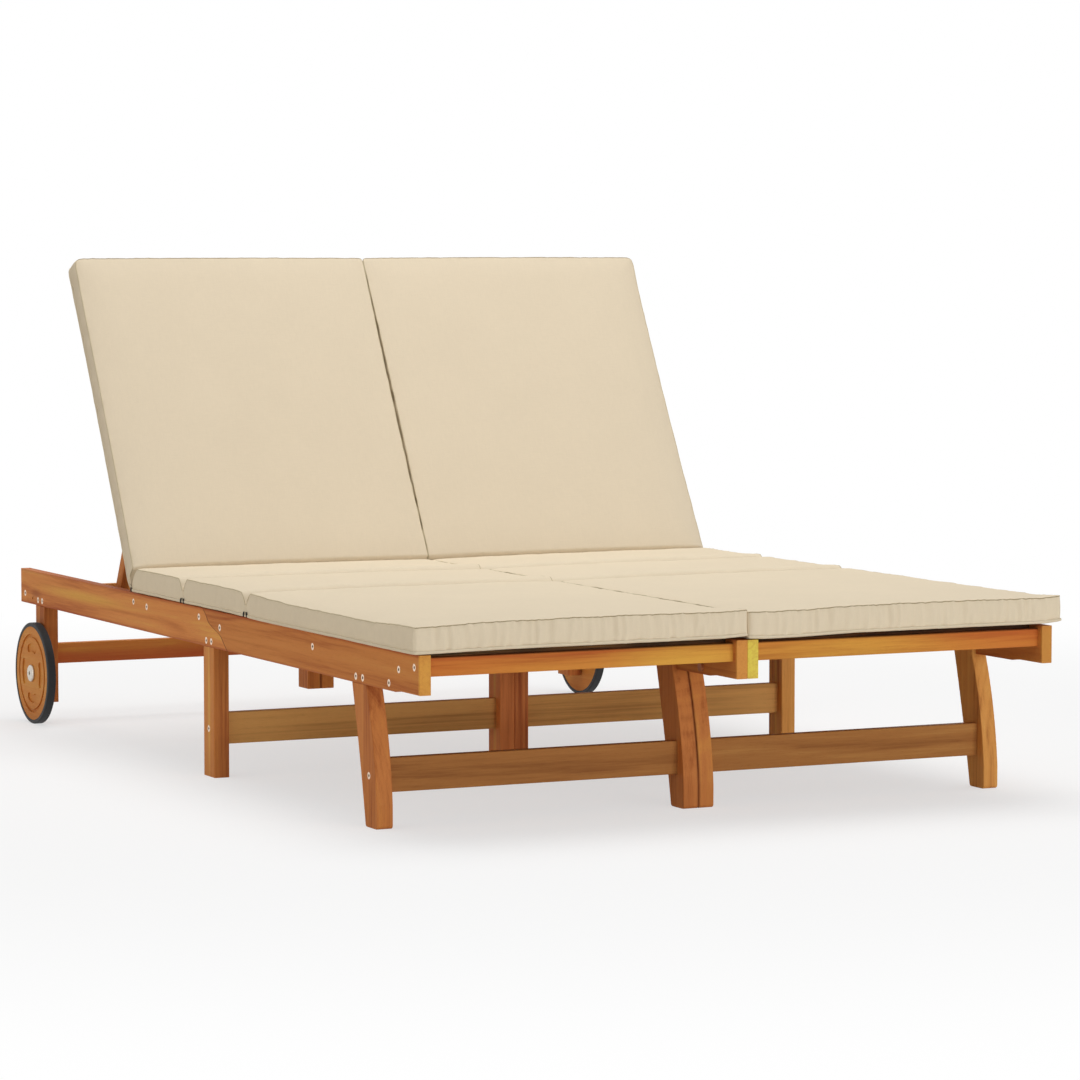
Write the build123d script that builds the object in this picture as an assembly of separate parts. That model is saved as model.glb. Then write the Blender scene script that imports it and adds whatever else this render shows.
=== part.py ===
from build123d import *

import os
from math import cos, radians, sin, sqrt

# Double chaise lounger: two wooden loungers bolted side by side, each with a hinged backrest,
# a folding prop, one wheel and a cushion in segments.
# X runs across, Y along towards the head end, Z up. The origin is on the ground under the middle.
# All lengths are in millimetres. The left lounger is modelled and mirrored to give the right one.

# Overall sizes. The seat runs from the foot end to the hinges, and the backrest on from there.
seat_length = 1336.0
stile_reach = 660.0
stile_head_gap = 4.0
lounger_width = 608.0
rail_top = 308.0
edge_round = 1.5

# Side rails, each in two halves that meet at a curved scarf
rail_thick = 21.0
rail_depth = 69.0
nose_length = 82.0
nose_run = 16.0
nose_rise = 3.0
scarf_from_foot = 969.0
scarf_run = 121.0

# Legs
leg_thick = 29.5
leg_width = 52.0
tongue_height = 24.0
mid_leg_setback = 28.0
rear_leg_from_head = 118.0
rear_leg_lift = 44.0
leg_foot_fillet = 6.0
sabre_head = 61.0
sabre_foot = 48.0
sabre_from_foot = 247.5
sabre_sweep = 43.0
sabre_front_bulge = 7.0
sabre_rear_bulge = 2.5
sabre_plumb = 40.0

# Stretchers between the legs
stretcher_thick = 20.0
stretcher_depth = 58.0
front_stretcher_height = 58.5
mid_stretcher_height = 59.5
stretcher_setback = 18.0
front_stretcher_setback = 24.0
rear_stretcher_height = 121.0
rear_stretcher_depth = 41.0

# Crossbars between the rails
crossbar_thick = 17.0
crossbar_depth = 31.5
crossbar_drop = 5.5
crossbar_setback = 13.0
seat_end_setback = 72.0
head_bar_depth = 26.0
head_bar_from_head = 26.0
rest_clearance = 0.3

# Slats and the cleats that carry them
slat_thick = 12.0
slat_width = 55.0
seat_slat_count = 15
back_slat_count = 8
slat_end_gap = 0.5
slat_margin = 10.0
cleat_thick = 20.0
cleat_depth = 26.0

# Backrest, in its own directions: along the slope from the hinge, and out of the slope
recline = 61.0
hinge_drop = 17.0
stile_thick = 20.0
stile_depth = 36.0
stile_tail = 18.0
stile_tail_radius = 10.8
side_gap = 1.5
rebate_width = 10.0
back_slat_start = 30.0
back_slat_margin = 6.0

# Prop that holds the backrest up, and the ratchet boards that its feet stand on
prop_thick = 16.0
prop_width = 26.0
prop_pivot_drop = 8.5
prop_lean = 1.5
foot_bar_radius = 6.0
foot_clearance = 0.5
ratchet_width = 41.0
notch_count = 4
notch_depth = 6.0
steps_of_travel = 22

# Wheels, one beside each outer rear leg
wheel_radius = 103.0
tyre_thick = 8.0
tyre_shoulder = 2.5
tyre_width = 17.0
disc_thick = 15.5
axle_setback = 4.0
wheel_gap = 3.5
ring_groove_radius = 76.5
ring_groove_width = 7.0
groove_depth = 3.0
kidney_radius = 52.0
kidney_width = 16.0
kidney_sweep = 42.0
kidney_count = 4
axle_radius = 4.0
axle_head_radius = 17.0
axle_head_height = 4.5
axle_head_round = 3.0
axle_socket_radius = 4.5
axle_socket_depth = 2.5
axle_washer_radius = 13.0

# Fasteners
screw_radius = 2.0
screw_head_radius = 6.3
screw_head_height = 3.6
screw_length = 38.0
screw_sink = 0.3
socket_radius = 2.6
socket_depth = 2.0
screw_hole_clearance = 0.1
short_screw_length = 16.0
leg_screw_length = 27.0
sabre_screw_spacing = 29.0
leg_screw_spacing = 25.0
bolt_radius = 3.0
bolt_head_radius = 5.8
bolt_head_height = 3.2
running_clearance = 0.06
face_clearance = 0.1
washer_radius = 9.0
nut_radius = 6.5
nut_height = 5.0
joining_bolt_radius = 4.0
joining_head_radius = 7.5
joining_head_height = 5.0
joining_leg_gap = 18.0
joining_from_foot = 124.0
pilot_hole_radius = 3.2

# Cushions
cushion_inset = 3.0
cushion_overhang = 8.0
seat_cushion_thick = 45.0
back_cushion_thick = 41.0
cushion_crown = 2.2
cushion_side_bulge = 2.0
cushion_draw_in = 2.5
corner_inset = 6.0
seat_cushion_gap = 11.0
back_cushion_gap = 16.0
back_cushion_overhang = 55.0
notch_reach = 24.0
end_reach = 12.0
hinge_end_reach = 31.0
fold_reach = 30.0

# Course of the scarf, as shares of its run and of the rail's depth
scarf_shares = ((0, 0), (0.14, 0.19), (0.23, 0.34), (0.48, 0.5), (0.72, 0.64), (0.86, 0.82), (1, 1))

# Sizes of the prop as shares of the backrest's length
pivot_share = 0.33
prop_length_share = 0.3585
notch_pitch_share = 0.0727

# Places of the screws into the cleats, as shares of the cleats' length and of the rail's depth
cleat_screw_shares = ((0.0441, 0.56), (0.3427, 0.64), (0.6985, 0.58), (0.7834, 0.745))

# Heights of the joining bolts and of the legs' screws, as shares of the rail and of the tongue
joining_bolt_share = 0.185
leg_screw_share = 0.45

# Places of the two notches as shares of the seat cushion's length
notch_place_shares = (0.5555, 0.7917)

# Height of the cushion as a share of its thickness, against the share of a reach from the edge
boxed_end_shares = ((0.0, 0.94), (0.35, 0.985), (1.0, 1.0))
notch_shares = ((0.0, 0.50), (0.25, 0.70), (0.55, 0.91), (1.0, 1.0))
seat_end_shares = ((0.0, 0.26), (0.25, 0.54), (0.6, 0.84), (1.0, 1.0))
fold_shares = ((0.0, 0.05), (0.27, 0.12), (0.47, 0.32), (0.70, 0.58), (0.85, 0.90), (1.0, 1.0))
boxed_inset_shares = (1.0, 0.35, 0.0)

# Places and sizes worked out from those above
rail_length = seat_length + stile_reach + stile_head_gap
foot_end = -rail_length / 2
head_end = rail_length / 2
rail_bottom = rail_top - rail_depth
hinge_y = foot_end + seat_length
hinge_z = rail_top - hinge_drop
tongue_top = rail_bottom + tongue_height
cleat_top = rail_top - slat_thick
sabre_centre = foot_end + sabre_from_foot
mid_leg_centre = foot_end + scarf_from_foot - mid_leg_setback
rear_leg_centre = head_end - rear_leg_from_head
wheel_y = rear_leg_centre - axle_setback
wheel_centre_z = wheel_radius
stile_start = rail_thick + side_gap
prop_start = stile_start + stile_thick + side_gap
prop_pivot_along = stile_reach * pivot_share
prop_length = stile_reach * prop_length_share
notch_pitch = stile_reach * notch_pitch_share
foot_radius = prop_width / 2
cushion_width = lounger_width + cushion_overhang - cushion_inset
seat_cushion_length = seat_length - seat_cushion_gap

# Each side of the left lounger: where the rail's outer face lies, and the way inwards
SIDES = {"outer": (-lounger_width, 1), "inner": (0, -1)}


def across(side, depth):
    """X of a point that lies this deep behind the outer face of a rail."""
    face, inwards = SIDES[side]
    return face + inwards * depth


def board(x_pair, y_pair, z_pair):
    """Rectangular board between two values of each coordinate."""
    lows = [min(pair) for pair in (x_pair, y_pair, z_pair)]
    sizes = [abs(pair[1] - pair[0]) for pair in (x_pair, y_pair, z_pair)]
    return Pos(*lows) * Box(*sizes, align=(Align.MIN, Align.MIN, Align.MIN))


def side_board(side, depth_pair, y_pair, z_pair):
    """Board on one side of the lounger, placed by its depth behind the rail's outer face."""
    return board([across(side, depth) for depth in depth_pair], y_pair, z_pair)


def side_slab(side, depth_pair, outline):
    """Outline in Y and Z, made solid between two depths behind the rail's outer face."""
    low, high = sorted(across(side, depth) for depth in depth_pair)
    return Pos(low, 0, 0) * extrude(Plane.YZ * outline, high - low)


def side_plane(side, depth, y, z):
    """Plane at a point on one side of the lounger, facing inwards."""
    return Plane(origin=(across(side, depth), y, z), z_dir=(SIDES[side][1], 0, 0))


def eased(part, direction):
    """A board with the long edges that run along an axis rounded a little."""
    return fillet(part.edges().filter_by(direction), edge_round)


def side_edges(part):
    """Edges round the two faces of a piece that look across the lounger."""
    faces = part.faces().sort_by(Axis.X)
    return faces[0].edges() + faces[-1].edges()


def eased_faces(part):
    """A piece with all the edges round its two side faces rounded a little."""
    return fillet(side_edges(part), edge_round)


def rod(plane, radius, length):
    """Round rod that starts on a plane and runs along its normal."""
    return plane * Cylinder(radius, length, align=(Align.CENTER, Align.CENTER, Align.MIN))


def countersunk(plane, radius, head_radius, head_height, length, clearance=0):
    """Screw or bolt with a countersunk head, or with a clearance the hole that it needs."""
    head = plane * Cone(
        head_radius + clearance,
        radius + clearance,
        head_height,
        align=(Align.CENTER, Align.CENTER, Align.MIN),
    )
    return rod(plane, radius + clearance, length) + head


def screw(side, y, z, length):
    """Countersunk screw through a rail, with the socket in its head."""
    plane = side_plane(side, screw_sink, y, z)
    whole = countersunk(plane, screw_radius, screw_head_radius, screw_head_height, length)
    return whole - rod(plane, socket_radius, socket_depth)


def screw_hole(side, y, z, length):
    """Hole for that screw, open to the face of the rail."""
    plane = side_plane(side, screw_sink, y, z)
    hole = countersunk(
        plane,
        screw_radius,
        screw_head_radius,
        screw_head_height,
        length + screw_hole_clearance,
        screw_hole_clearance,
    )
    mouth_plane = side_plane(side, -screw_sink, y, z)
    return hole + rod(mouth_plane, screw_head_radius + screw_hole_clearance, 2 * screw_sink)


def hinge_bolt_hole(side, clearance):
    """Hole of the backrest's hinge bolt through the rail and the stile."""
    plane = side_plane(side, screw_sink, hinge_y, hinge_z)
    length = prop_start + nut_height
    hole = countersunk(plane, bolt_radius, bolt_head_radius, bolt_head_height, length, clearance)
    mouth_plane = side_plane(side, -screw_sink, hinge_y, hinge_z)
    return hole + rod(mouth_plane, bolt_head_radius + clearance, 2 * screw_sink)


def hex_nut(plane, height, across_corners_radius, bore_radius):
    """Hexagonal nut standing on a plane."""
    blank = extrude(plane * RegularPolygon(across_corners_radius, 6), height)
    return blank - rod(plane, bore_radius, height)


def leg_places():
    """Centre along Y of each leg of one side and the spacing of its two screws."""
    return {
        "front": (sabre_centre, sabre_screw_spacing),
        "mid": (mid_leg_centre, leg_screw_spacing),
        "rear": (rear_leg_centre, leg_screw_spacing),
    }


def leg_screw_points():
    """Places in Y and Z of the two screws that hold each leg's tongue."""
    height = rail_bottom + tongue_height * leg_screw_share
    points = []
    for centre, spacing in leg_places().values():
        points += [(centre - spacing / 2, height), (centre + spacing / 2, height)]
    return points


def cleat_screw_points():
    """Places in Y and Z of the screws through a rail into its cleat."""
    start, end = seat_span()
    return [
        (start + (end - start) * along, rail_bottom + rail_depth * up)
        for along, up in cleat_screw_shares
    ]


def joining_points():
    """Places in Y and Z of the bolts between the inner rails, near the head and the foot end."""
    height = rail_bottom + rail_depth * joining_bolt_share
    behind_leg = rear_leg_centre + leg_width / 2 + joining_leg_gap
    return [(behind_leg, height), (foot_end + joining_from_foot, height)]


def crossbar_places():
    """Middle in Y and Z, and depth, of each crossbar. The flat backrest lies on the head one."""
    middle = rail_top - crossbar_drop - crossbar_depth / 2
    head_middle = rail_top - stile_depth - rest_clearance - head_bar_depth / 2
    return {
        "foot": (foot_end + crossbar_setback + crossbar_thick / 2, middle, crossbar_depth),
        "seat_end": (hinge_y - seat_end_setback, middle, crossbar_depth),
        "head": (head_end - head_bar_from_head, head_middle, head_bar_depth),
    }


def stretcher_screw_points():
    """Places in Y and Z of the screws through the legs into the stretchers' ends."""
    return {
        name: (sum(y_pair) / 2, sum(z_pair) / 2)
        for name, (y_pair, z_pair) in stretcher_places().items()
    }


def rail_screws(side):
    """Every screw driven through a rail of one side: its place and its length."""
    screws = [(y, z, screw_length) for y, z, _ in crossbar_places().values()]
    screws += [(y, z, screw_length) for y, z in cleat_screw_points()]
    screws += [(y, z, leg_screw_length) for y, z in leg_screw_points()]
    if side == "outer":
        screws.append((*joining_points()[1], short_screw_length))
    return screws


def plain_holes(side):
    """Through holes of a rail: two for the joining bolts, or one that stays empty outside."""
    if side == "outer":
        return [(*joining_points()[0], pilot_hole_radius)]
    radius = joining_bolt_radius + screw_hole_clearance
    return [(y, z, radius) for y, z in joining_points()]


def drilled(part, side):
    """A piece of one side with the holes of the rail's screws cut in it."""
    box = part.bounding_box()
    for y, z, length in rail_screws(side):
        if box.min.Y < y < box.max.Y and box.min.Z < z < box.max.Z:
            part = part - screw_hole(side, y, z, length)
    return part


def scarf_points():
    """Points of the scarf joint's S-shaped line, from the rail's top edge to its bottom edge."""
    start = foot_end + scarf_from_foot
    return [(start - scarf_run * along, rail_top - rail_depth * down) for along, down in scarf_shares]


def bulged_arc(start, end, bulge):
    """Arc between two points that stands this far off their chord, to the left of the way."""
    run, rise = end[0] - start[0], end[1] - start[1]
    length = sqrt(run * run + rise * rise)
    middle = (
        (start[0] + end[0]) / 2 - rise / length * bulge,
        (start[1] + end[1]) / 2 + run / length * bulge,
    )
    return ThreePointArc(start, middle, end)


def front_rail_outline():
    """Foot half of a rail, with the shallower nose at the foot end."""
    points = scarf_points()
    nose_end = foot_end + nose_length
    edge = Polyline(
        points[-1],
        (nose_end + nose_run, rail_bottom),
        (nose_end, rail_bottom + nose_rise),
        (foot_end, rail_bottom + nose_rise),
        (foot_end, rail_top),
        points[0],
    )
    return make_face(edge + Spline(*points))


def rear_rail_outline():
    """Head half of a rail."""
    points = scarf_points()
    edge = Polyline(points[-1], (head_end, rail_bottom), (head_end, rail_top), points[0])
    return make_face(edge + Spline(*points))


def rail(side, outline):
    """Half of a side rail with its holes."""
    blank = side_slab(side, (0, rail_thick), outline)
    straight = side_edges(blank).filter_by(GeomType.LINE)
    blank = drilled(fillet(straight, edge_round), side)
    box = blank.bounding_box()
    if box.max.Y > hinge_y:
        blank = blank - hinge_bolt_hole(side, screw_hole_clearance)
    for y, z, radius in plain_holes(side):
        if box.min.Y < y < box.max.Y:
            blank = blank - rod(side_plane(side, 0, y, z), radius, rail_thick)
    return blank


def rail_seat(side, centre, width):
    """Space for the rail above a leg's shaft, in front of its tongue."""
    y_pair = (centre - width / 2, centre + width / 2)
    return side_board(side, (0, rail_thick), y_pair, (rail_bottom, tongue_top))


def straight_leg(side, centre, foot):
    """Straight leg, flush with the rail outside, with a tongue behind the rail."""
    y_pair = (centre - leg_width / 2, centre + leg_width / 2)
    blank = side_board(side, (0, leg_thick), y_pair, (foot, tongue_top))
    return eased_faces(blank - rail_seat(side, centre, leg_width))


def sabre_outline():
    """Curved front leg, which sweeps towards the foot end as it goes down."""
    front_top, rear_top = sabre_centre - sabre_head / 2, sabre_centre + sabre_head / 2
    front_foot = front_top - sabre_sweep
    rear_foot = front_foot + sabre_foot
    edge = Polyline((front_foot, sabre_plumb), (front_foot, 0), (rear_foot, 0))
    edge += bulged_arc((rear_foot, 0), (rear_top, rail_bottom), sabre_rear_bulge)
    edge += Polyline(
        (rear_top, rail_bottom),
        (rear_top, tongue_top),
        (front_top, tongue_top),
        (front_top, rail_bottom),
    )
    edge += bulged_arc((front_top, rail_bottom), (front_foot, sabre_plumb), -sabre_front_bulge)
    face = make_face(edge)
    corners = face.vertices().sort_by(Axis.Y)[:2]
    return fillet(corners, leg_foot_fillet)


def sabre_leg(side):
    """Curved front leg, cut out so that the rail lies flush on its shaft."""
    blank = side_slab(side, (0, leg_thick), sabre_outline())
    return eased_faces(blank - rail_seat(side, sabre_centre, sabre_head))


def stretcher_places():
    """Extents in Y and Z of the board that ties each pair of legs."""
    sabre_front = sabre_centre - sabre_head / 2 - sabre_sweep
    mid_front = mid_leg_centre - leg_width / 2
    rear_front = rear_leg_centre - leg_width / 2
    starts = {
        "front": (sabre_front + front_stretcher_setback, front_stretcher_height, stretcher_depth),
        "mid": (mid_front + stretcher_setback, mid_stretcher_height, stretcher_depth),
        "rear": (rear_front + stretcher_setback, rear_stretcher_height, rear_stretcher_depth),
    }
    return {
        name: ((y, y + stretcher_thick), (z, z + depth)) for name, (y, z, depth) in starts.items()
    }


def leg(side, name):
    """One leg with the holes of its rail screws, of its stretcher screw and of the wheel's axle."""
    if name == "front":
        whole = sabre_leg(side)
    elif name == "mid":
        whole = straight_leg(side, mid_leg_centre, 0)
    else:
        whole = straight_leg(side, rear_leg_centre, rear_leg_lift)
    whole = drilled(whole, side)
    whole = whole - screw_hole(side, *stretcher_screw_points()[name], screw_length)
    if name == "rear" and side == "outer":
        plane = side_plane(side, 0, wheel_y, wheel_centre_z)
        whole = whole - rod(plane, axle_radius + screw_hole_clearance, leg_thick)
    return whole


def stretcher(name):
    """Board between the legs, with the pilot holes of the screws in its ends."""
    y_pair, z_pair = stretcher_places()[name]
    x_pair = (across("outer", leg_thick), across("inner", leg_thick))
    whole = eased(board(x_pair, y_pair, z_pair), Axis.X)
    for side in SIDES:
        whole = whole - screw_hole(side, *stretcher_screw_points()[name], screw_length)
    return whole


def crossbar(name):
    """Crossbar between the rails, with the pilot holes of the screws in its ends."""
    y, z, depth = crossbar_places()[name]
    whole = board(
        (across("outer", rail_thick), across("inner", rail_thick)),
        (y - crossbar_thick / 2, y + crossbar_thick / 2),
        (z - depth / 2, z + depth / 2),
    )
    whole = eased(whole, Axis.X)
    for side in SIDES:
        whole = whole - screw_hole(side, y, z, screw_length)
    return whole


def seat_span():
    """Front and rear ends of the space between the two seat crossbars."""
    start = foot_end + crossbar_setback + crossbar_thick
    end = hinge_y - seat_end_setback - crossbar_thick / 2
    return start, end


def cleat(side):
    """Long cleat that bridges the scarf inside the rail and carries the seat slats."""
    depth_pair = (rail_thick, rail_thick + cleat_thick)
    blank = side_board(side, depth_pair, seat_span(), (cleat_top - cleat_depth, cleat_top))
    return drilled(blank, side)


def seat_slats():
    """Seat slats, evenly spaced on the cleats and flush with the rails' tops."""
    start, end = seat_span()
    first = start + slat_margin
    pitch = (end - slat_margin - slat_width - first) / (seat_slat_count - 1)
    x_pair = (
        across("outer", rail_thick + slat_end_gap),
        across("inner", rail_thick + slat_end_gap),
    )
    slats = []
    for number in range(seat_slat_count):
        y = first + number * pitch
        slat = board(x_pair, (y, y + slat_width), (cleat_top, rail_top))
        slats.append(eased(slat, Axis.X))
    return slats


def foot_point(angle):
    """Place in Y and Z of the prop's foot with the backrest at an angle."""
    slope, swing = radians(angle), radians(angle + prop_lean)
    pivot_y = hinge_y + prop_pivot_along * cos(slope) + prop_pivot_drop * sin(slope)
    pivot_z = hinge_z + prop_pivot_along * sin(slope) - prop_pivot_drop * cos(slope)
    return pivot_y + prop_length * cos(swing), pivot_z - prop_length * sin(swing)


def ratchet_top():
    """Top of the ratchet boards, just under the lowest place of the prop's feet."""
    angles = [recline * number / steps_of_travel for number in range(steps_of_travel + 1)]
    return min(foot_point(angle)[1] for angle in angles) - foot_radius - foot_clearance


def ratchet_board(side):
    """Board beside the rail with round notches for the prop's feet."""
    first = foot_point(recline)[0]
    last = first + (notch_count - 1) * notch_pitch
    depth_pair = (rail_thick, rail_thick + ratchet_width)
    y_pair = (first - notch_pitch, last + notch_pitch)
    whole = side_board(side, depth_pair, y_pair, (rail_bottom, ratchet_top()))
    for number in range(notch_count):
        centre_z = ratchet_top() - notch_depth + foot_radius
        plane = side_plane(side, rail_thick, first + number * notch_pitch, centre_z)
        whole = whole - rod(plane, foot_radius, ratchet_width)
    return whole


def on_backrest(part):
    """A piece made with the backrest lying flat, raised about the hinge to its slope."""
    hinge = Axis((0, hinge_y, hinge_z), (1, 0, 0))
    return part.rotate(hinge, recline)


def stile(side):
    """Long side of the backrest frame, rebated along its inner top edge for the slats."""
    depth_pair = (stile_start, stile_start + stile_thick)
    y_pair = (hinge_y - stile_tail, hinge_y + stile_reach)
    whole = side_board(side, depth_pair, y_pair, (rail_top - stile_depth, rail_top))
    tail_edges = whole.edges().filter_by(Axis.X).group_by(Axis.Y)[0]
    whole = eased_faces(fillet(tail_edges, stile_tail_radius))
    rebate = side_board(
        side,
        (stile_start + rebate_width, stile_start + stile_thick),
        (hinge_y + back_slat_start - slat_end_gap, y_pair[1]),
        (cleat_top, rail_top),
    )
    pivot = flat_pivot_plane(side, stile_start)
    bolt_hole = countersunk(
        pivot,
        bolt_radius,
        bolt_head_radius,
        bolt_head_height,
        stile_thick,
        screw_hole_clearance,
    )
    whole = whole - rebate - bolt_hole - hinge_bolt_hole(side, running_clearance)
    return on_backrest(whole)


def flat_pivot_plane(side, depth):
    """Plane at the prop's pivot with the backrest lying flat."""
    return side_plane(side, depth, hinge_y + prop_pivot_along, hinge_z - prop_pivot_drop)


def back_slats():
    """Backrest slats, let into the stiles' rebates and flush with their tops."""
    first = hinge_y + back_slat_start
    last = hinge_y + stile_reach - back_slat_margin - slat_width
    pitch = (last - first) / (back_slat_count - 1)
    depth = stile_start + rebate_width
    x_pair = (across("outer", depth + slat_end_gap), across("inner", depth + slat_end_gap))
    slats = []
    for number in range(back_slat_count):
        y = first + number * pitch
        slat = board(x_pair, (y, y + slat_width), (cleat_top, rail_top))
        slats.append(on_backrest(eased(slat, Axis.X)))
    return slats


def strut(side):
    """Side of the prop: a board with rounded ends, pivoted inside the stile."""
    pivot_y, pivot_z = hinge_y + prop_pivot_along, hinge_z - prop_pivot_drop
    outline = Pos(pivot_y + prop_length / 2, pivot_z) * SlotCenterToCenter(prop_length, prop_width)
    whole = eased_faces(side_slab(side, (prop_start, prop_start + prop_thick), outline))
    bolt_hole = rod(flat_pivot_plane(side, prop_start), bolt_radius + running_clearance, prop_thick)
    foot_plane = side_plane(side, prop_start, pivot_y + prop_length, pivot_z)
    bar_hole = rod(foot_plane, foot_bar_radius + screw_hole_clearance, prop_thick)
    return on_prop(whole - bolt_hole - bar_hole)


def on_prop(part):
    """A piece made with the prop lying flat, swung down to where its feet stand."""
    pivot = Axis((0, hinge_y + prop_pivot_along, hinge_z - prop_pivot_drop), (1, 0, 0))
    return on_backrest(part.rotate(pivot, -recline - prop_lean - recline))


def foot_bar():
    """Round bar between the two feet of the prop."""
    pivot_y, pivot_z = hinge_y + prop_pivot_along, hinge_z - prop_pivot_drop
    plane = side_plane("outer", prop_start + slat_end_gap, pivot_y + prop_length, pivot_z)
    length = lounger_width - 2 * (prop_start + slat_end_gap)
    return on_prop(rod(plane, foot_bar_radius, length))


def hinge_bolts(side):
    """Hinge bolt of one side with the washer between rail and stile and the nut inside."""
    plane = side_plane(side, screw_sink, hinge_y, hinge_z)
    nut_depth = stile_start + stile_thick + face_clearance
    length = nut_depth + nut_height - screw_sink
    bolt = countersunk(plane, bolt_radius, bolt_head_radius, bolt_head_height, length)
    bolt = bolt - rod(plane, socket_radius, socket_depth)
    nut_plane = side_plane(side, nut_depth, hinge_y, hinge_z)
    nut = hex_nut(nut_plane, nut_height, nut_radius, bolt_radius + running_clearance)
    washer_plane = side_plane(side, rail_thick, hinge_y, hinge_z)
    washer_height = side_gap - face_clearance
    washer = rod(washer_plane, washer_radius, washer_height)
    washer = washer - rod(washer_plane, bolt_radius + running_clearance, washer_height)
    return [bolt, nut, washer]


def pivot_bolts(side):
    """Bolt and nut that hold a strut to its stile, with the head let into the stile."""
    plane = flat_pivot_plane(side, stile_start)
    nut_depth = prop_start + prop_thick + face_clearance
    length = nut_depth + nut_height - stile_start
    bolt = countersunk(plane, bolt_radius, bolt_head_radius, bolt_head_height, length)
    nut_plane = flat_pivot_plane(side, nut_depth)
    nut = hex_nut(nut_plane, nut_height, nut_radius, bolt_radius + running_clearance)
    return [on_backrest(bolt), on_backrest(nut)]


def wheel_plane(depth):
    """Plane on the wheel's axle, measured outwards from the rail's outer face."""
    return Plane(origin=(-lounger_width - depth, wheel_y, wheel_centre_z), z_dir=(-1, 0, 0))


def wheel_disc():
    """Wooden wheel with a ring groove and four kidney-shaped recesses in its outer face."""
    start = wheel_gap + (tyre_width - disc_thick) / 2
    face = wheel_plane(start + disc_thick - groove_depth)
    whole = rod(wheel_plane(start), wheel_radius - tyre_thick, disc_thick)
    ring = Circle(ring_groove_radius + ring_groove_width / 2)
    ring = ring - Circle(ring_groove_radius - ring_groove_width / 2)
    whole = whole - extrude(face * ring, groove_depth)
    arc = CenterArc((0, 0), kidney_radius, -kidney_sweep / 2, kidney_sweep)
    kidney = SlotArc(arc, kidney_width)
    for spoke in PolarLocations(0, kidney_count):
        whole = whole - extrude(face * (spoke * kidney), groove_depth)
    return whole - rod(wheel_plane(start), axle_radius + running_clearance, disc_thick)


def tyre():
    """Rubber band round the wooden wheel, with rounded shoulders."""
    outer = rod(wheel_plane(wheel_gap), wheel_radius, tyre_width)
    shoulders = outer.edges().filter_by(GeomType.CIRCLE)
    outer = fillet(shoulders, tyre_shoulder)
    return outer - rod(wheel_plane(wheel_gap), wheel_radius - tyre_thick, tyre_width)


def axle_bolt():
    """Axle bolt with its broad domed head outside the wheel and a nut inside the leg."""
    head_plane = wheel_plane(wheel_gap + tyre_width + face_clearance)
    head = rod(head_plane, axle_head_radius, axle_head_height)
    rim = head.edges().filter_by(GeomType.CIRCLE).sort_by(Axis.X)[0]
    head = fillet(rim, axle_head_round)
    length = wheel_gap + tyre_width + face_clearance + leg_thick + nut_height
    start = side_plane("outer", leg_thick + nut_height - length, wheel_y, wheel_centre_z)
    bolt = head + rod(start, axle_radius, length)
    top_plane = wheel_plane(wheel_gap + tyre_width + face_clearance + axle_head_height)
    socket = extrude(top_plane * RegularPolygon(axle_socket_radius, 6), -axle_socket_depth)
    bolt = bolt - socket
    nut_plane = side_plane("outer", leg_thick, wheel_y, wheel_centre_z)
    nut = hex_nut(nut_plane, nut_height, nut_radius, axle_radius + running_clearance)
    return [bolt, nut]


def wheel_washer():
    """Washer between the wheel and the leg."""
    height = wheel_gap + (tyre_width - disc_thick) / 2 - face_clearance
    whole = rod(wheel_plane(0), axle_washer_radius, height)
    return whole - rod(wheel_plane(0), axle_radius + running_clearance, height)


def joining_bolts():
    """Bolts with nuts that tie the two inner rails together."""
    pieces = []
    for y, z in joining_points():
        plane = Plane(origin=(-rail_thick, y, z), z_dir=(1, 0, 0))
        bolt = rod(plane, joining_bolt_radius, 2 * rail_thick + nut_height)
        head = rod(
            Plane(origin=(-rail_thick - joining_head_height, y, z), z_dir=(1, 0, 0)),
            joining_head_radius,
            joining_head_height,
        )
        nut_plane = Plane(origin=(rail_thick, y, z), z_dir=(1, 0, 0))
        nut = hex_nut(
            nut_plane, nut_height, joining_head_radius, joining_bolt_radius + running_clearance
        )
        pieces += [bolt + head, nut]
    return pieces


def all_screws(side):
    """Every screw of one side, through the rail and through the legs."""
    screws = [screw(side, *place) for place in rail_screws(side)]
    for y, z in stretcher_screw_points().values():
        screws.append(screw(side, y, z, screw_length))
    return screws


def cushion_section(thick, place, height_share, inset):
    """Cross-section of a cushion: flat underside, bulged sides and a crowned top."""
    height = thick * height_share
    half = cushion_width / 2 - inset
    bulge = cushion_side_bulge * height_share
    crown = cushion_crown * height_share
    outline = Line((-half, 0), (half, 0))
    outline += ThreePointArc((half, 0), (half + bulge, height / 2), (half, height))
    outline += ThreePointArc((half, height), (0, height + crown), (-half, height))
    outline += ThreePointArc((-half, height), (-half - bulge, height / 2), (-half, 0))
    return Plane(origin=(0, place, 0), x_dir=(1, 0, 0), z_dir=(0, -1, 0)) * make_face(outline)


def cushion_solid(thick, stations):
    """Cushion made of its cross-sections, each given by place, height share and inset."""
    sections = [cushion_section(thick, *station) for station in stations]
    centre = -cushion_inset - cushion_width / 2
    return Pos(centre, 0, rail_top + rest_clearance) * loft(sections, ruled=True)


def edge_stations(edge, way, reach, shares, insets):
    """Stations that rise from an edge into a cushion, in the order of their places."""
    inset_at = [corner_inset * share for share in insets]
    rows = [
        (edge + way * reach * share, height, inset)
        for (share, height), inset in zip(shares, inset_at)
    ]
    return rows if way > 0 else rows[::-1]


def notch_stations(place):
    """Stations across a sewn notch between two segments."""
    level = [0] * len(notch_shares)
    before = edge_stations(place, -1, notch_reach, notch_shares, level)
    after = edge_stations(place, 1, notch_reach, notch_shares, level)
    return before + after[1:]


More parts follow.
